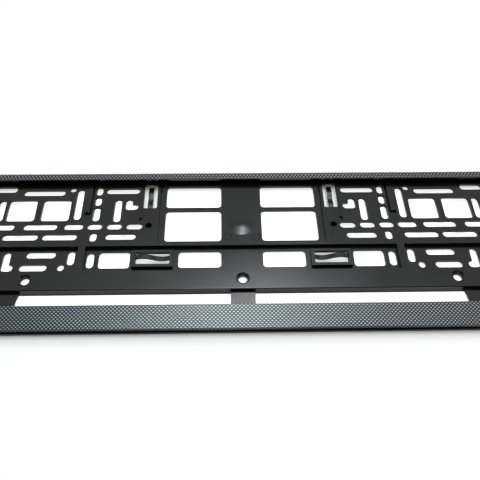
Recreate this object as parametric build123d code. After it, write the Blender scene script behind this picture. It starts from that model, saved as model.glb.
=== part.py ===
from build123d import *
import os
from math import cos, pi, radians, sin

# Number plate holder, one moulding, lying on its back. Millimetres.
# X runs along the plate, Y up the plate, Z out of the front face.

# The plate that it carries
plate_width = 520.0
plate_height = 110.0
plate_clearance = 1.0

# Rim round the top and the sides
rim_wall = 2.2
rim_lip = 3.85
rim_lip_thickness = 1.6
rim_rise = 4.9
rim_edge_radius = 0.6
corner_radius = 6.0

# Base panel
panel_front = 6.2
panel_thickness = 2.0
panel_edge_at = 28.9
panel_edge_radius = 0.7
flange_thickness = 1.8

# Strip along the bottom, tilted towards the lower edge
strip_seat_at = 12.6
strip_lip = 3.1
strip_wall = 1.5
strip_front_height = 5.6
strip_back_height = 9.6
strip_foot_height = 1.7
strip_undercut = 0.8
strip_edge_radius = 0.4
strip_lip_radius = 0.5

# Straps that join the strip to the panel
strap_thickness = 1.0
strap_rise = 2.4
centre_strap_width = 16.4
centre_strap_taper = 0.45
side_strap_width = 50.8
side_strap_taper = 3.2
strap_flare_at_middle = 0.34

# Troughs in the panel, either side of a narrow land
trough_depth = 2.8
trough_wall = 1.8
trough_bottom_at = 43.8
trough_top_at = 64.2
inner_trough_half = 105.3
land_width = 4.8

# Openings, on the right half, measured from the middle and from the lower edge
slot_width = 5.5
slot_radius = 2.45
largest_corner = 0.49
corner_chords = 3
window_radius = 2.2
spring_window_radius = 0.9
bay_middle = 168.4

window_middle = 33.4
window_width = 38.8
upper_window = (97.7, 117.8)
lower_window = (67.7, 94.8)

row_a_at = 81.3
row_a_inner_slots = [(68.5, 79.6), (82.6, 93.1), (96.1, 106.4)]
row_a_bay_slots = [(109.1, 122.4), (127.0, 150.2)]
row_a_middle_slot = 24.2
row_b_at = 72.3
row_b_inner_slots = [(72.3, 93.2)]
row_b_bay_slots = [(112.3, 136.1), (138.7, 163.0)]

column_at = 101.4
column_width = 5.0
column_holes = [(68.2, 76.0), (86.1, 98.8), (100.2, 108.4), (110.1, 118.0)]
upright_at = 86.8
upright_slot = (85.2, 106.3)
long_slot_at = 114.6
long_slot = (87.4, 116.1)
angle_hole_from = 72.5
angle_hole_to = 81.7
angle_hole = (96.2, 106.2)

square_middles = [130.0, 153.9]
square_size = 19.6
square_bottom_at = 86.5
bay_upright = (86.5, 106.0)
top_inner_slot = (72.4, 96.4)
top_inner_at = 114.1
top_bay_slot = (125.8, 155.5)
top_bay_at = 112.7
top_middle_slot = 16.0
top_middle_at = 116.0
dot_at = (120.5, 115.6)
dot_size = 4.6

trough_window_bottom = 47.7
trough_window_top = 61.4
trough_windows = [(14.1, 42.8), (75.3, 96.1)]
trough_upright_at = 101.6
trough_upright = (48.1, 60.7)
bay_trough_upright = (50.7, 62.4)
bay_trough_slot = (125.0, 144.9)
bay_trough_slot_at = 59.3
bay_low_slot = (129.6, 147.9)
bay_low_at = 48.8
bay_low_dot = 120.5
bay_low_middle_slot = 9.6
bay_angle_from = 151.9
bay_angle_to = 159.8
bay_angle = (46.0, 61.9)

# Leaf springs, moulded in one with the panel
spring_box = (46.3, 73.5)
spring_box_bottom = 47.0
spring_box_top = 60.6
spring_box_wall = 2.2
spring_box_bar = 1.9
spring_leaf_at = 55.1
spring_leaf_width = 3.4
spring_leaf_thickness = 1.0
spring_leaf_swing = 1.5
leaf_chords = 10
tongue_middle = 64.3
tongue_window_width = 9.5
tongue_window = (97.6, 119.8)
tongue_width = 3.6
tongue_swing = 0.7
tongue_waves = 2

# Small moulded details
finger_middle = 107.9
finger_width = 3.8
finger_from = 92.5
finger_rise = 1.35
finger_root = 0.2
groove_width = 1.2
groove_depth = 2.4
groove_wall = 1.0
hinge_groove_at = tongue_middle - 7.3
hinge_groove_from = 66.5
line_at = tongue_middle + 5.8
line_width = 0.6
line_depth = 0.6
pin_mark_depth = 1.2
pin_mark_size = 1.8
socket_at = (tongue_middle - 0.1, 81.9)
socket_diameter = 4.6
socket_wall = 1.5
socket_depth = 4.4
notch_at = (tongue_middle + 5.3, 86.8)
notch_size = (3.2, 4.0)
notch_depth = 1.6
dome_at = 81.4
dome_diameter = 16.8
dome_height = 1.1
screw_spacing = 141.3
screw_at = 37.1
screw_hole = 6.2
screw_head = 9.0
screw_sink = 1.1
screw_pad_size = 10.4
screw_pad_depth = 1.6

# Worked out from the sizes above
pocket_width = plate_width + 2 * plate_clearance
pocket_height = plate_height + 2 * plate_clearance
holder_width = pocket_width + 2 * rim_wall
holder_height = strip_seat_at + pocket_height + rim_wall
half_width = holder_width / 2
pocket_half = pocket_width / 2
pocket_top = strip_seat_at + pocket_height
opening_half = pocket_half - rim_lip
opening_top = pocket_top - rim_lip
holder_depth = panel_front + rim_rise
panel_back = panel_front - panel_thickness
strip_width = strip_seat_at + strip_lip
trough_floor = panel_front - trough_depth
trough_back = trough_floor - trough_wall
bay_trough_from = inner_trough_half + land_width
bay_trough_to = 2 * bay_middle - bay_trough_from


def block(x, y, z):
    """A box between two corners, with y measured from the lower edge."""
    size = (x[1] - x[0], y[1] - y[0], z[1] - z[0])
    corner = (x[0], y[0] - holder_height / 2, z[0])
    return Pos(*corner) * Box(*size, align=(Align.MIN, Align.MIN, Align.MIN))


def rounded_outline(width, height, radius):
    """A rectangle with its corners rounded in a few short chords, which keeps the many slots light."""
    corner = min(radius, largest_corner * width, largest_corner * height)
    points = []
    for side, end, start in ((1, 1, 0), (-1, 1, 90), (-1, -1, 180), (1, -1, 270)):
        for step in range(corner_chords + 1):
            angle = radians(start + 90 * step / corner_chords)
            points.append((side * (width / 2 - corner) + corner * cos(angle),
                           end * (height / 2 - corner) + corner * sin(angle)))
    return make_face(Polyline(*points, close=True))


def opening(x, y, radius):
    """A rounded hole right through the panel, with y measured from the lower edge."""
    outline = rounded_outline(x[1] - x[0], y[1] - y[0], radius)
    middle = ((x[0] + x[1]) / 2, (y[0] + y[1]) / 2 - holder_height / 2, trough_back / 2)
    return Pos(*middle) * extrude(outline, holder_depth)


def level_slot(x, at):
    """A slot of the common width that runs along the plate."""
    return opening(x, (at - slot_width / 2, at + slot_width / 2), slot_radius)


def upright(at, y, width=column_width):
    """A slot that runs up the plate."""
    return opening((at - width / 2, at + width / 2), y, slot_radius)


def across_bay(x):
    """The same span on the far side of the bay's middle line."""
    return (2 * bay_middle - x[1], 2 * bay_middle - x[0])


def centred(width):
    """A span of this width on the bay's middle line."""
    return (bay_middle - width / 2, bay_middle + width / 2)


def both_halves(pieces):
    """The pieces of the right half and their mirror images on the left."""
    right = Compound(children=list(pieces))
    return [*right.solids(), *mirror(right, Plane.YZ).solids()]


def framed_panel():
    """The panel with its rim, open at the front and hollow at the back."""
    body = extrude(RectangleRounded(holder_width, holder_height, corner_radius), holder_depth)
    body = fillet(body.edges().group_by(Axis.Z)[-1], rim_edge_radius)
    across_pocket = (-pocket_half, pocket_half)
    body -= block(across_pocket, (0, pocket_top), (panel_front, holder_depth - rim_lip_thickness))
    body -= block((-opening_half, opening_half), (0, opening_top), (panel_front, holder_depth + 1))
    body -= block(across_pocket, (panel_edge_at + flange_thickness, pocket_top), (-1, panel_back))
    body -= block(across_pocket, (-1, panel_edge_at), (-1, panel_front))
    body -= block((-half_width, half_width), (-1, strip_seat_at), (-1, holder_depth + 1))
    front_edge = body.edges().filter_by(Axis.X).sort_by_distance(
        (0, panel_edge_at - holder_height / 2, panel_front))[0]
    return fillet(front_edge, panel_edge_radius)


def bottom_strip():
    """The hollow strip with its sloping face, its lip over the plate and closed ends."""
    slope = (strip_back_height - strip_front_height) / strip_width

    def face(y):
        return strip_front_height + slope * y

    seat_wall = strip_seat_at - strip_wall
    foot = [(0, 0), (0, strip_foot_height), (strip_undercut, strip_foot_height)]
    front_wall = [*foot, (0, strip_front_height)]
    section = Polyline(
        *front_wall, (strip_width, strip_back_height),
        (strip_width, strip_back_height - strip_wall), (strip_seat_at, face(strip_seat_at) - strip_wall),
        (strip_seat_at, 0), (seat_wall, 0), (seat_wall, face(seat_wall) - strip_wall),
        (strip_wall, face(strip_wall) - strip_wall), (strip_wall, 0), close=True)
    end = Polyline(*front_wall, (strip_seat_at, face(strip_seat_at)), (strip_seat_at, 0), close=True)

    def along(outline, start, length, rounded):
        profile = make_face(outline)
        front = profile.vertices().sort_by_distance((0, strip_front_height, 0))[0]
        profile = fillet(front, strip_edge_radius)
        if rounded:
            lip = profile.vertices().sort_by_distance((strip_width, strip_back_height, 0))[0]
            profile = fillet(lip, strip_lip_radius)
        place = Plane((start, -holder_height / 2, 0), x_dir=(0, 1, 0), z_dir=(1, 0, 0))
        return extrude(place * profile, length)

    strip = along(section, -half_width, holder_width, True)
    strip += along(end, -half_width, rim_wall, False)
    strip += along(end, half_width - rim_wall, rim_wall, False)
    outline = extrude(RectangleRounded(holder_width, holder_height, corner_radius), holder_depth)
    return strip & outline


def strap(middle, width, taper):
    """A thin strap from the strip's seat wall to the panel's flange, flared towards the flange."""
    low = strip_seat_at - strip_wall - holder_height / 2
    high = panel_edge_at + flange_thickness - holder_height / 2
    wide = width / 2
    narrow = wide - taper
    between = narrow + strap_flare_at_middle * taper
    halfway = (low + high) / 2
    right = ThreePointArc((middle + narrow, low), (middle + between, halfway), (middle + wide, high))
    left = ThreePointArc((middle - narrow, low), (middle - between, halfway), (middle - wide, high))
    outline = Curve() + [left, right, Line(left @ 0, right @ 0), Line(left @ 1, right @ 1)]
    return Pos(0, 0, strap_rise) * extrude(make_face(outline), strap_thickness)


def trough_spans():
    """The three troughs along the panel."""
    bay = (bay_trough_from, bay_trough_to)
    return [(-inner_trough_half, inner_trough_half), bay, (-bay[1], -bay[0])]


def spring_leaf(length, width, swing, waves):
    """A leaf that swings up and down along its length, in short chords, centred on its own middle."""
    steps = leaf_chords * waves
    wave = [(length * (i / steps - 0.5), swing * sin(2 * pi * waves * i / steps)) for i in range(steps + 1)]
    upper = [(x, z + spring_leaf_thickness / 2) for x, z in wave]
    lower = [(x, z - spring_leaf_thickness / 2) for x, z in reversed(wave)]
    outline = make_face(Polyline(*upper, *lower, close=True))
    return extrude(Plane.XZ * outline, width / 2, both=True)


def panel_openings():
    """Every through opening of the right half."""
    window = (window_middle - window_width / 2, window_middle + window_width / 2)
    upper_rows = [opening(window, y, window_radius) for y in (upper_window, lower_window)]
    for at, inner, bay in ((row_a_at, row_a_inner_slots, row_a_bay_slots),
                           (row_b_at, row_b_inner_slots, row_b_bay_slots)):
        upper_rows += [level_slot(x, at) for x in inner + bay]
        upper_rows += [level_slot(across_bay(x), at) for x in bay]
    upper_rows.append(level_slot(centred(row_a_middle_slot), row_a_at))

    columns = []
    for at in (column_at, 2 * bay_middle - column_at):
        columns += [upright(at, y) for y in column_holes]
    for at in (long_slot_at, 2 * bay_middle - long_slot_at):
        columns.append(upright(at, long_slot))
    columns += [upright(upright_at, upright_slot), upright(bay_middle, bay_upright)]
    for middle in square_middles + [2 * bay_middle - at for at in square_middles]:
        side = (middle - square_size / 2, middle + square_size / 2)
        columns.append(opening(side, (square_bottom_at, square_bottom_at + square_size), window_radius))

    top_row = [level_slot(top_inner_slot, top_inner_at), level_slot(centred(top_middle_slot), top_middle_at)]
    top_row += [level_slot(x, top_bay_at) for x in (top_bay_slot, across_bay(top_bay_slot))]
    dot = (dot_at[0] - dot_size / 2, dot_at[0] + dot_size / 2)
    dot_height = (dot_at[1] - dot_size / 2, dot_at[1] + dot_size / 2)
    top_row += [opening(x, dot_height, slot_radius) for x in (dot, across_bay(dot))]

    trough_window = (trough_window_bottom, trough_window_top)
    troughs = [opening(x, trough_window, window_radius) for x in trough_windows]
    troughs.append(upright(trough_upright_at, trough_upright))
    troughs.append(level_slot(centred(bay_low_middle_slot), bay_low_at))
    low_dot = (bay_low_dot - dot_size / 2, bay_low_dot + dot_size / 2)
    stem = (long_slot_at - column_width / 2, long_slot_at + column_width / 2)
    angle_foot = (bay_angle[0], bay_angle[0] + slot_width)
    for turn in (tuple, across_bay):
        troughs.append(level_slot(turn(bay_trough_slot), bay_trough_slot_at))
        troughs.append(level_slot(turn(bay_low_slot), bay_low_at))
        troughs.append(level_slot(turn(low_dot), bay_low_at))
        troughs.append(opening(turn(stem), bay_trough_upright, slot_radius))
        troughs.append(opening(turn((bay_angle_from, bay_angle_to)), angle_foot, slot_radius))
        troughs.append(opening(turn((bay_angle_to - column_width, bay_angle_to)), bay_angle, slot_radius))

    foot = (angle_hole[0], angle_hole[0] + slot_width)
    angles = [opening((angle_hole_from, angle_hole_to), foot, slot_radius),
              opening((angle_hole_to - column_width, angle_hole_to), angle_hole, slot_radius)]
    box_window = (spring_box_bottom + spring_box_wall, spring_box_top - spring_box_wall)
    tongue_sides = (tongue_middle - tongue_window_width / 2, tongue_middle + tongue_window_width / 2)
    springs = [opening(spring_box_inside(), box_window, spring_window_radius),
               opening(tongue_sides, tongue_window, spring_window_radius)]
    return upper_rows + columns + top_row + troughs + angles + springs


def spring_box_inside():
    """The span of a spring box between its end walls."""
    return (spring_box[0] + spring_box_wall, spring_box[1] - spring_box_wall)


def leaf_springs():
    """The wave leaf in each box of the trough and the tongue in each window under the rim."""
    box_length = spring_box[1] - spring_box[0] - spring_box_wall
    box_middle = (spring_box[0] + spring_box[1]) / 2
    leaf_height = (trough_floor + panel_front) / 2
    leaf = spring_leaf(box_length, spring_leaf_width, spring_leaf_swing, 1)
    leaf = Pos(box_middle, spring_leaf_at - holder_height / 2, leaf_height) * Rot(0, 0, 180) * leaf
    tongue_length = tongue_window[1] - tongue_window[0] + spring_leaf_thickness
    tongue_at = (tongue_window[0] + tongue_window[1]) / 2 - holder_height / 2
    tongue_height = panel_front - panel_thickness / 2
    tongue = spring_leaf(tongue_length, tongue_width, tongue_swing, tongue_waves)
    tongue = Pos(tongue_middle, tongue_at, tongue_height) * Rot(0, 0, 90) * tongue
    return [leaf, tongue]


def finger():
    """A wedge under the rim that rises towards its free end and presses on the back of the plate."""
    side = make_face(Polyline(
        (finger_from, panel_front), (finger_from, panel_front + finger_rise),
        (pocket_top, panel_front + finger_root), (pocket_top, panel_front), close=True))
    start = (finger_middle - finger_width / 2, -holder_height / 2, 0)
    return extrude(Plane(start, x_dir=(0, 1, 0), z_dir=(1, 0, 0)) * side, finger_width)


def dome():
    """The low round dome over the point where the mould is filled."""
    reach = dome_diameter / 2
    ball = (reach ** 2 + dome_height ** 2) / (2 * dome_height)
    around = block((-reach, reach), (dome_at - reach, dome_at + reach),
                   (panel_front - panel_thickness / 2, panel_front + dome_height))
    return Pos(0, dome_at - holder_height / 2, panel_front + dome_height - ball) * Sphere(ball) & around


def groove_spans():
    """The deep grooves beside each finger and each tongue, as spans along and up the plate."""
    inner = finger_middle - finger_width / 2
    hinge = (hinge_groove_at - groove_width / 2, hinge_groove_at + groove_width / 2)
    return [((inner - groove_width, inner), (finger_from, opening_top)),
            (hinge, (hinge_groove_from, opening_top))]


def groove_ribs():
    """The ribs that thicken the panel behind the deep grooves."""
    depth = (panel_front - groove_depth - groove_wall, panel_back)
    return [block((x[0] - groove_wall, x[1] + groove_wall), (y[0] - groove_wall, y[1] + groove_wall), depth)
            for x, y in groove_spans()]


def small_cuts():
    """Grooves, blind holes and notches in the front of the right half."""
    groove = (panel_front - groove_depth, holder_depth - rim_lip_thickness)
    cuts = [block(x, y, groove) for x, y in groove_spans()]
    line = (panel_front - line_depth, panel_front)
    cuts.append(block((line_at - line_width / 2, line_at + line_width / 2), (notch_at[1], opening_top), line))

    mark = pin_mark_size / 2
    cuts.append(block((finger_middle - mark, finger_middle + mark), (finger_from - mark, finger_from + mark),
                      (panel_front - pin_mark_depth, panel_front + finger_rise)))
    hole = Cylinder(socket_diameter / 2, socket_depth, align=(Align.CENTER, Align.CENTER, Align.MAX))
    cuts.append(Pos(socket_at[0], socket_at[1] - holder_height / 2, panel_front) * hole)

    side = notch_size[0] / 2
    end = notch_size[1] / 2
    notch = make_face(Polyline((-side, end), (side, end), (side, -end), close=True))
    place = Pos(notch_at[0], notch_at[1] - holder_height / 2, panel_front - notch_depth)
    cuts.append(place * extrude(notch, notch_depth))
    under_bar = (spring_box_top - spring_box_wall - spring_window_radius, spring_box_top)
    cuts.append(block(spring_box_inside(), under_bar, (trough_back, panel_front - spring_box_bar)))
    return cuts


def screw_pads():
    """Square pads that thicken the band behind its three screw holes."""
    half = screw_pad_size / 2
    upright_span = (screw_at - half, screw_at + half)
    thickness = (panel_back - screw_pad_depth, panel_back)
    return [block((x - half, x + half), upright_span, thickness) for x in (-screw_spacing, 0, screw_spacing)]


def screw_holes():
    """Countersunk holes: three in the band below the troughs and one in the middle of each bay."""
    drill = Cylinder(screw_hole / 2, holder_depth)
    cone = Cone(screw_hole / 2, screw_head / 2, screw_sink, align=(Align.CENTER, Align.CENTER, Align.MAX))
    places = [(x, screw_at) for x in (-screw_spacing, 0, screw_spacing)]
    places += [(x, row_b_at) for x in (-bay_middle, bay_middle)]
    return [Pos(x, y - holder_height / 2, panel_front) * tool for x, y in places for tool in (drill, cone)]


def holder_body():
    """The whole moulding."""
    body = framed_panel() + bottom_strip()
    body += [strap(0, centre_strap_width, centre_strap_taper)]
    body += [strap(x, side_strap_width, side_strap_taper) for x in (-bay_middle, bay_middle)]

    for x in trough_spans():
        around = (x[0] - trough_wall, x[1] + trough_wall)
        body += block(around, (trough_bottom_at - trough_wall, trough_top_at + trough_wall),
                      (trough_back, panel_back))
    for x in trough_spans():
        body -= block(x, (trough_bottom_at, trough_top_at), (trough_floor, panel_front))

    box = block(spring_box, (spring_box_bottom, spring_box_top), (trough_floor, panel_front))
    boss = extrude(RegularPolygon(socket_diameter / 2 + socket_wall, 8),
                   socket_depth + socket_wall - panel_thickness)
    boss_back = panel_front - socket_depth - socket_wall
    boss = Pos(socket_at[0], socket_at[1] - holder_height / 2, boss_back) * boss
    body += both_halves([box, finger(), boss, *groove_ribs()])
    body += dome()
    body += screw_pads()

    body -= both_halves(panel_openings())
    body -= both_halves(small_cuts())
    body -= screw_holes()
    body += both_halves(leaf_springs())
    return body


os.makedirs("parts", exist_ok=True)
holder = holder_body()
holder.label = "holder_body"
export_step(holder, "parts/holder_body.step")
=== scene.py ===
import bpy
import math
from mathutils import Matrix, Vector


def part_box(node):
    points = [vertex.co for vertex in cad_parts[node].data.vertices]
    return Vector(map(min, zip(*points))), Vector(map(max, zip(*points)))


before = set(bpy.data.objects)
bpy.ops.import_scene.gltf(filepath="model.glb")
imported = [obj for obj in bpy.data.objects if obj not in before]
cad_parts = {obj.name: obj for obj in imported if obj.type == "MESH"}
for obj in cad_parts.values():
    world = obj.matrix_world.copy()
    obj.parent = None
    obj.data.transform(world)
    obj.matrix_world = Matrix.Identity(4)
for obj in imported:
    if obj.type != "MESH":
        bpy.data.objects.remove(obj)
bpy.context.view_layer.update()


# The moulding: one shot of black polypropylene, satin from a fine eroded mould, with the slots, leaf
# springs and troughs in one piece. A carbon-look film is pressed hot on the rim's lip and on the strip.
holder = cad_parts["holder_body"]
low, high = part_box("holder_body")
lip_top = high[2]
lip_thickness = 0.0016
strip_width = 0.0157
strip_front_height = 0.0056
strip_back_height = 0.0096


def shader_group(name, inputs, outputs):
    """An empty shader node group with its sockets, each given as a name, a kind and a first value."""
    group = bpy.data.node_groups.new(name, "ShaderNodeTree")
    for label, kind, value in inputs:
        socket = group.interface.new_socket(label, in_out="INPUT", socket_type=kind)
        if value is not None:
            socket.default_value = value
    for label, kind in outputs:
        group.interface.new_socket(label, in_out="OUTPUT", socket_type=kind)
    return group, group.nodes.new("NodeGroupInput"), group.nodes.new("NodeGroupOutput")


def maths(tree, operation, *values):
    """A Math node whose inputs are sockets or plain numbers."""
    node = tree.nodes.new("ShaderNodeMath")
    node.operation = operation
    for socket, value in zip(node.inputs, values):
        if isinstance(value, (int, float)):
            socket.default_value = value
        else:
            tree.links.new(value, socket)
    return node.outputs[0]


def smooth_step(tree, value, start, end, first=0.0, last=1.0):
    """A smooth change from one value to another between two limits."""
    node = tree.nodes.new("ShaderNodeMapRange")
    node.interpolation_type = "SMOOTHSTEP"
    tree.links.new(value, node.inputs["Value"])
    for label, number in (("From Min", start), ("From Max", end), ("To Min", first), ("To Max", last)):
        node.inputs[label].default_value = number
    return node.outputs["Result"]


def mixed(tree, factor, first, last):
    """A mix of two colours or of two numbers, given as sockets or as plain values."""
    number_sockets, colour_sockets = (2, 3), (6, 7)
    node = tree.nodes.new("ShaderNodeMix")
    coloured = not isinstance(last, (int, float)) and (isinstance(last, tuple) or last.type == "RGBA")
    node.data_type = "RGBA" if coloured else "FLOAT"
    tree.links.new(factor, node.inputs["Factor"])
    for index, value in zip(colour_sockets if coloured else number_sockets, (first, last)):
        if isinstance(value, tuple):
            node.inputs[index].default_value = (*value, 1.0)
        elif isinstance(value, (int, float)):
            node.inputs[index].default_value = value
        else:
            tree.links.new(value, node.inputs[index])
    return node.outputs[2 if coloured else 0]


def moulded_grain_group():
    """The fine eroded grain of a moulded surface, as a height, and the slow change of its gloss."""
    group, source, sink = shader_group(
        "moulded_grain", [("Position", "NodeSocketVector", None), ("Grain Scale", "NodeSocketFloat", 2600.0)],
        [("Height", "NodeSocketFloat"), ("Gloss Change", "NodeSocketFloat")])
    grain_detail = 3.0
    patch_scale = 38.0
    patch_detail = 2.0
    patch_range = (0.3, 0.7)
    grain = group.nodes.new("ShaderNodeTexNoise")
    grain.inputs["Detail"].default_value = grain_detail
    group.links.new(source.outputs["Position"], grain.inputs["Vector"])
    group.links.new(source.outputs["Grain Scale"], grain.inputs["Scale"])
    group.links.new(grain.outputs["Fac"], sink.inputs["Height"])
    patches = group.nodes.new("ShaderNodeTexNoise")
    patches.inputs["Scale"].default_value = patch_scale
    patches.inputs["Detail"].default_value = patch_detail
    group.links.new(source.outputs["Position"], patches.inputs["Vector"])
    group.links.new(smooth_step(group, patches.outputs["Fac"], *patch_range), sink.inputs["Gloss Change"])
    return group


def carbon_print_group():
    """The printed weave: rows of light oval threads, each row half a pitch beside the last, with fibres."""
    group, source, sink = shader_group(
        "carbon_print", [("Position", "NodeSocketVector", None), ("Pitch", "NodeSocketFloat", 0.0025),
                         ("Row Pitch", "NodeSocketFloat", 0.0025)],
        [("Thread", "NodeSocketFloat"), ("Fibre", "NodeSocketFloat")])
    across_share = 0.37
    along_share = 0.63
    thread_edge = (0.53, 0.66)
    fibres_in_pitch = 9.0
    split = group.nodes.new("ShaderNodeSeparateXYZ")
    group.links.new(source.outputs["Position"], split.inputs[0])
    across = maths(group, "DIVIDE", maths(group, "MULTIPLY", split.outputs["X"], math.tau),
                   source.outputs["Pitch"])
    along = maths(group, "DIVIDE", maths(group, "MULTIPLY", split.outputs["Y"], math.tau),
                  source.outputs["Row Pitch"])
    weave = maths(group, "ADD", maths(group, "MULTIPLY", maths(group, "COSINE", across), across_share),
                  maths(group, "MULTIPLY", maths(group, "COSINE", along), along_share))
    group.links.new(smooth_step(group, maths(group, "ABSOLUTE", weave), *thread_edge), sink.inputs["Thread"])
    fibres = maths(group, "SINE", maths(group, "MULTIPLY", along, fibres_in_pitch))
    group.links.new(maths(group, "MULTIPLY_ADD", fibres, 0.5, 0.5), sink.inputs["Fibre"])
    return group


def printed_faces(tree, position, normal):
    """One on the printed faces, the rim's lip and the strip's slope, and nought on bare plastic, and one
    on the strip alone."""
    lip_edge = (lip_top - lip_thickness, lip_top - 0.9 * lip_thickness)
    lip_facing = (0.25, 0.4)
    slope_edge = (-0.0007, -0.0006)
    slope_facing = (0.35, 0.5)
    strip_margin = 0.0004
    place = tree.nodes.new("ShaderNodeSeparateXYZ")
    tree.links.new(position, place.inputs[0])
    facing = tree.nodes.new("ShaderNodeSeparateXYZ")
    tree.links.new(normal, facing.inputs[0])
    on_lip = smooth_step(tree, place.outputs["Z"], *lip_edge)
    lip_print = maths(tree, "MULTIPLY", on_lip, smooth_step(tree, facing.outputs["Z"], *lip_facing))
    slope = (strip_back_height - strip_front_height) / strip_width
    from_edge = maths(tree, "SUBTRACT", place.outputs["Y"], low[1])
    face_height = maths(tree, "MULTIPLY_ADD", from_edge, slope, strip_front_height)
    over_face = maths(tree, "SUBTRACT", place.outputs["Z"], face_height)
    on_slope = smooth_step(tree, over_face, *slope_edge)
    in_strip = maths(tree, "LESS_THAN", from_edge, strip_width + strip_margin)
    strip_print = maths(tree, "MULTIPLY", on_slope, smooth_step(tree, facing.outputs["Z"], *slope_facing))
    return mixed(tree, in_strip, lip_print, strip_print), in_strip


def ejector_rings(tree, position):
    """One on the two thin rings that round ejector pins leave in the panel, below the dome."""
    ring_spacing = 0.0098
    ring_height = 0.0081
    ring_radius = 0.0025
    ring_edge = (0.0001, 0.0005)
    panel_front = 0.0062
    panel_reach = 0.0001
    place = tree.nodes.new("ShaderNodeSeparateXYZ")
    tree.links.new(position, place.inputs[0])
    across = maths(tree, "SUBTRACT", maths(tree, "ABSOLUTE", place.outputs["X"]), ring_spacing)
    along = maths(tree, "SUBTRACT", place.outputs["Y"], ring_height)
    along_squared = maths(tree, "MULTIPLY", along, along)
    reach = maths(tree, "SQRT", maths(tree, "MULTIPLY_ADD", across, across, along_squared))
    from_ring = maths(tree, "ABSOLUTE", maths(tree, "SUBTRACT", reach, ring_radius))
    from_panel = maths(tree, "ABSOLUTE", maths(tree, "SUBTRACT", place.outputs["Z"], panel_front))
    on_panel = maths(tree, "LESS_THAN", from_panel, panel_reach)
    return maths(tree, "MULTIPLY", on_panel, smooth_step(tree, from_ring, *ring_edge, 1.0, 0.0))


grain_group = moulded_grain_group()
carbon_group = carbon_print_group()


def black_plastic_with_carbon_print():
    """Satin black plastic, with the carbon-look film on the rim's lip and on the strip."""
    plastic_colour = (0.0022, 0.0023, 0.0025)
    gap_colour = (0.003, 0.004, 0.005)
    thread_colour = (0.252, 0.302, 0.320)
    plastic_roughness = (0.16, 0.20)
    film_roughness = (0.28, 0.40)
    gap_metal, thread_metal = 0.22, 0.70
    fibre_shade = 0.8
    strip_row_pitch = 0.00235
    rim_row_pitch = 0.0038
    ring_roughness = 0.7
    film_and_grain_bump = (0.10, 0.00008)
    ring_groove_bump = (0.9, 0.0003)
    material = bpy.data.materials.new("black_plastic_with_carbon_print")
    material.use_nodes = True
    tree = material.node_tree
    shader = tree.nodes["Principled BSDF"]
    position = tree.nodes.new("ShaderNodeTexCoord").outputs["Object"]
    normal = tree.nodes.new("ShaderNodeNewGeometry").outputs["Normal"]
    printed, in_strip = printed_faces(tree, position, normal)
    grain = tree.nodes.new("ShaderNodeGroup")
    grain.node_tree = grain_group
    carbon = tree.nodes.new("ShaderNodeGroup")
    carbon.node_tree = carbon_group
    for node in (grain, carbon):
        tree.links.new(position, node.inputs["Position"])
    tree.links.new(mixed(tree, in_strip, rim_row_pitch, strip_row_pitch), carbon.inputs["Row Pitch"])

    thread = maths(tree, "MULTIPLY", carbon.outputs["Thread"],
                   smooth_step(tree, carbon.outputs["Fibre"], 0.0, 1.0, fibre_shade, 1.0))
    film_colour = mixed(tree, thread, gap_colour, thread_colour)
    tree.links.new(mixed(tree, printed, plastic_colour, film_colour), shader.inputs["Base Color"])
    rings = ejector_rings(tree, position)
    plastic_gloss = smooth_step(tree, grain.outputs["Gloss Change"], 0.0, 1.0, *plastic_roughness)
    plastic_gloss = mixed(tree, rings, plastic_gloss, ring_roughness)
    film_gloss = smooth_step(tree, thread, 0.0, 1.0, *film_roughness)
    tree.links.new(mixed(tree, printed, plastic_gloss, film_gloss), shader.inputs["Roughness"])
    film_metal = maths(tree, "MULTIPLY_ADD", thread, thread_metal - gap_metal, gap_metal)
    tree.links.new(maths(tree, "MULTIPLY", film_metal, printed), shader.inputs["Metallic"])
    bump = tree.nodes.new("ShaderNodeBump")
    bump.inputs["Strength"].default_value, bump.inputs["Distance"].default_value = film_and_grain_bump
    tree.links.new(mixed(tree, printed, grain.outputs["Height"], thread), bump.inputs["Height"])
    ring_bump = tree.nodes.new("ShaderNodeBump")
    ring_bump.invert = True
    ring_bump.inputs["Strength"].default_value, ring_bump.inputs["Distance"].default_value = ring_groove_bump
    tree.links.new(rings, ring_bump.inputs["Height"])
    tree.links.new(bump.outputs["Normal"], ring_bump.inputs["Normal"])
    tree.links.new(ring_bump.outputs["Normal"], shader.inputs["Normal"])
    return material


holder.data.materials.clear()
holder.data.materials.append(black_plastic_with_carbon_print())


# The table: the plain pale sheet of a light table that the holder lies on. It glows beside the holder,
# more far off. Under the holder the glow is stronger: painted light that clears the shade seen through its
# openings. Under its leaf springs it is weaker: painted shade of the springs. Close beside the holder it
# falls to nought: a painted contact shadow, where the soft shadow lies. It is not part of the object.
table_size = 6.0
table_drop = 0.0002
table_colour = (0.89, 0.86, 0.855, 1.0)
table_roughness, table_sheen = 0.9, 0.1
# Painted light under the holder; painted shade under the tongues and leaf springs, where the glow is weaker.
painted_light_under_holder, painted_shade_glow_under_tongues, painted_shade_glow_under_leaves = 0.86, 0.26, 0.55
painted_shade_patch_tongues = (0.0643, 0.0120, 0.0335, 0.0635)
painted_shade_patch_leaves = (0.0599, 0.0240, -0.0150, 0.0015)
glow_beside, glow_far_off = 0.12, 0.48
beside_until, far_off_from = 0.30, 1.20
glow_in_reflections = 0.08
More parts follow.
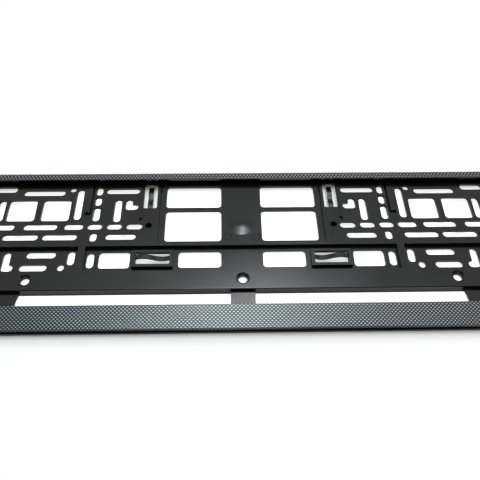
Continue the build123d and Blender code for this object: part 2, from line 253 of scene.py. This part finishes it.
# Close beside the holder the glow fades to nought within these reaches: a painted contact shadow.
shade_until, shade_gone_from = 0.002, 0.011
end_fade, upper_fade = 0.003, 0.008
lower_fade_from, lower_fade_to = 0.010, 0.028
bpy.ops.object.select_all(action="DESELECT")
bpy.ops.mesh.primitive_plane_add(size=table_size, location=(0, 0, low[2] - table_drop))
table = bpy.context.object
table.name = "table_top"
table_material = bpy.data.materials.new("pale_table")
table_material.use_nodes = True
table_tree = table_material.node_tree
table_shader = table_tree.nodes["Principled BSDF"]
table_shader.inputs["Base Color"].default_value = table_colour
table_shader.inputs["Roughness"].default_value = table_roughness
table_shader.inputs["Specular IOR Level"].default_value = table_sheen
table_glow = table_tree.nodes.new("ShaderNodeEmission")
table_place = table_tree.nodes.new("ShaderNodeSeparateXYZ")
table_position = table_tree.nodes.new("ShaderNodeTexCoord").outputs["Object"]
table_tree.links.new(table_position, table_place.inputs[0])
under_length = smooth_step(table_tree, maths(table_tree, "ABSOLUTE", table_place.outputs["X"]),
                           high[0] - end_fade, high[0], 1.0, 0.0)
over_lower = smooth_step(table_tree, table_place.outputs["Y"], low[1] + lower_fade_from,
                         low[1] + lower_fade_to)
under_upper = smooth_step(table_tree, table_place.outputs["Y"], high[1] - upper_fade, high[1], 1.0, 0.0)
under_width = maths(table_tree, "MULTIPLY", over_lower, under_upper)
under_holder = maths(table_tree, "MULTIPLY", under_length, under_width)
rays = table_tree.nodes.new("ShaderNodeLightPath")
reflected = maths(table_tree, "MULTIPLY", rays.outputs["Is Glossy Ray"], glow_in_reflections)
seen = maths(table_tree, "MAXIMUM", rays.outputs["Is Camera Ray"],
             maths(table_tree, "MAXIMUM", reflected, rays.outputs["Is Transmission Ray"]))
from_holder = table_tree.nodes.new("ShaderNodeVectorMath")
from_holder.operation = "LENGTH"
table_tree.links.new(table_position, from_holder.inputs[0])
open_glow = smooth_step(table_tree, from_holder.outputs["Value"], beside_until, far_off_from,
                        glow_beside, glow_far_off)
past_end = maths(table_tree, "SUBTRACT", maths(table_tree, "ABSOLUTE", table_place.outputs["X"]), high[0])
past_side = maths(table_tree, "SUBTRACT", maths(table_tree, "ABSOLUTE", table_place.outputs["Y"]), high[1])
past_holder = maths(table_tree, "MAXIMUM", past_end, past_side)
# Painted contact shadow: the glow beside the holder fades out close to its edge.
open_glow = maths(table_tree, "MULTIPLY", open_glow,
                  smooth_step(table_tree, past_holder, shade_until, shade_gone_from))


def painted_shade_patches(middle, length, lower, upper):
    """One on a soft-edged patch of the table on each side of the holder's middle: a place of painted shade.
    """
    soft_edge = 0.001
    from_middle = maths(table_tree, "ABSOLUTE", table_place.outputs["X"])
    along = maths(table_tree, "ABSOLUTE", maths(table_tree, "SUBTRACT", from_middle, middle))
    up = maths(table_tree, "SUBTRACT", table_place.outputs["Y"], (lower + upper) / 2)
    up = maths(table_tree, "ABSOLUTE", up)
    half_length, half_height = length / 2, (upper - lower) / 2
    return maths(table_tree, "MULTIPLY",
                 smooth_step(table_tree, along, half_length - soft_edge, half_length, 1.0, 0.0),
                 smooth_step(table_tree, up, half_height - soft_edge, half_height, 1.0, 0.0))


# Painted shade: the glow is weaker under the tongues and the leaf springs.
glow_with_painted_shade = mixed(table_tree, painted_shade_patches(*painted_shade_patch_tongues), painted_light_under_holder, painted_shade_glow_under_tongues)
glow_with_painted_shade = mixed(table_tree, painted_shade_patches(*painted_shade_patch_leaves), glow_with_painted_shade, painted_shade_glow_under_leaves)
# Painted light: the glow is strongest under the holder, seen through its openings.
glow = mixed(table_tree, under_holder, open_glow, glow_with_painted_shade)
table_tree.links.new(maths(table_tree, "MULTIPLY", seen, glow), table_glow.inputs["Strength"])
table_sum = table_tree.nodes.new("ShaderNodeAddShader")
table_tree.links.new(table_shader.outputs[0], table_sum.inputs[0])
table_tree.links.new(table_glow.outputs[0], table_sum.inputs[1])
table_tree.links.new(table_sum.outputs[0], table_tree.nodes["Material Output"].inputs["Surface"])
table.data.materials.append(table_material)


# The light: one large soft lamp overhead, brightest along its middle, which runs a pale streak down the
# holder, and a weaker one on the right. The room is pale behind and all round at the table's level, dimmer
# low in front and dark above the front.
def soft_lamp(name, place, width, depth, power):
    """A rectangular lamp that faces the holder's middle."""
    bpy.ops.object.light_add(type="AREA", location=place)
    made = bpy.context.object
    made.name = name
    made.data.shape = "RECTANGLE"
    made.data.size = width
    made.data.size_y = depth
    made.data.energy = power
    made.rotation_euler = (-made.location).to_track_quat("-Z", "Y").to_euler()
    return made


overhead_place, overhead_width, overhead_depth, overhead_power = (0.03, 0.178, 1.237), 1.1, 1.11, 50.0
side_place, side_width, side_power = (0.75, 0.05, 1.15), 0.7, 1.5
lamp_colour = (0.94, 1.0, 1.01)
lamp_middle, lamp_fading = 0.5, -8.5
room_behind, room_in_front, room_at_table, room_dark = 0.70, 0.30, 0.85, 0.06
behind_reach, front_reach, table_level = (-0.25, 0.50), (-0.65, -0.35), (0.12, 0.20)
lamp = soft_lamp("overhead_lamp", overhead_place, overhead_width, overhead_depth, overhead_power)
lamp.data.color = lamp_colour
lamp.data.use_nodes = True
lamp_tree = lamp.data.node_tree
lamp_place = lamp_tree.nodes.new("ShaderNodeSeparateXYZ")
lamp_tree.links.new(lamp_tree.nodes.new("ShaderNodeNewGeometry").outputs["Parametric"], lamp_place.inputs[0])
from_middle = maths(lamp_tree, "SUBTRACT", lamp_place.outputs["X"], lamp_middle)
from_middle = maths(lamp_tree, "ABSOLUTE", from_middle)
fading = maths(lamp_tree, "EXPONENT", maths(lamp_tree, "MULTIPLY", from_middle, lamp_fading))
lamp_tree.links.new(fading, lamp_tree.nodes["Emission"].inputs["Strength"])
soft_lamp("side_lamp", side_place, side_width, side_width, side_power)
room = bpy.data.worlds.new("room")
bpy.context.scene.world = room
room.use_nodes = True
room_tree = room.node_tree
room_light = room_tree.nodes["Background"]
toward = room_tree.nodes.new("ShaderNodeSeparateXYZ")
room_tree.links.new(room_tree.nodes.new("ShaderNodeTexCoord").outputs["Generated"], toward.inputs[0])
behind = smooth_step(room_tree, toward.outputs["Y"], *behind_reach, room_dark, room_behind)
before = smooth_step(room_tree, toward.outputs["Y"], *front_reach, room_in_front, room_dark)
around = smooth_step(room_tree, toward.outputs["Z"], *table_level, room_at_table, 0.0)
room_light.inputs["Color"].default_value = (1.0, 1.0, 1.0, 1.0)
room_level = maths(room_tree, "MAXIMUM", maths(room_tree, "MAXIMUM", behind, before), around)
room_tree.links.new(room_level, room_light.inputs["Strength"])


# The camera: it stands in front of the holder's lower edge and looks down on it, a little to the left
# of the middle and slightly turned, as the picture was taken.
picture_width = 480
focal_pixels = 633.6
nearest_seen = 0.01
camera_place = (-0.01069, -0.25948, 0.34667)
pitch, yaw, roll = (math.radians(angle) for angle in (52.144, 2.042, 1.115))
bpy.ops.object.camera_add(location=camera_place)
camera = bpy.context.object
camera.data.lens = focal_pixels / picture_width * camera.data.sensor_width
camera.data.clip_start = nearest_seen
ahead = Vector((math.sin(yaw) * math.cos(pitch), math.cos(yaw) * math.cos(pitch), -math.sin(pitch)))
level = Vector((math.cos(yaw), -math.sin(yaw), 0.0))
upward = level.cross(ahead)
right = math.cos(roll) * level + math.sin(roll) * upward
top = -math.sin(roll) * level + math.cos(roll) * upward
camera.rotation_euler = Matrix((right, top, -ahead)).transposed().to_euler()
bpy.context.scene.camera = camera
bpy.context.scene.view_settings.view_transform = "Standard"
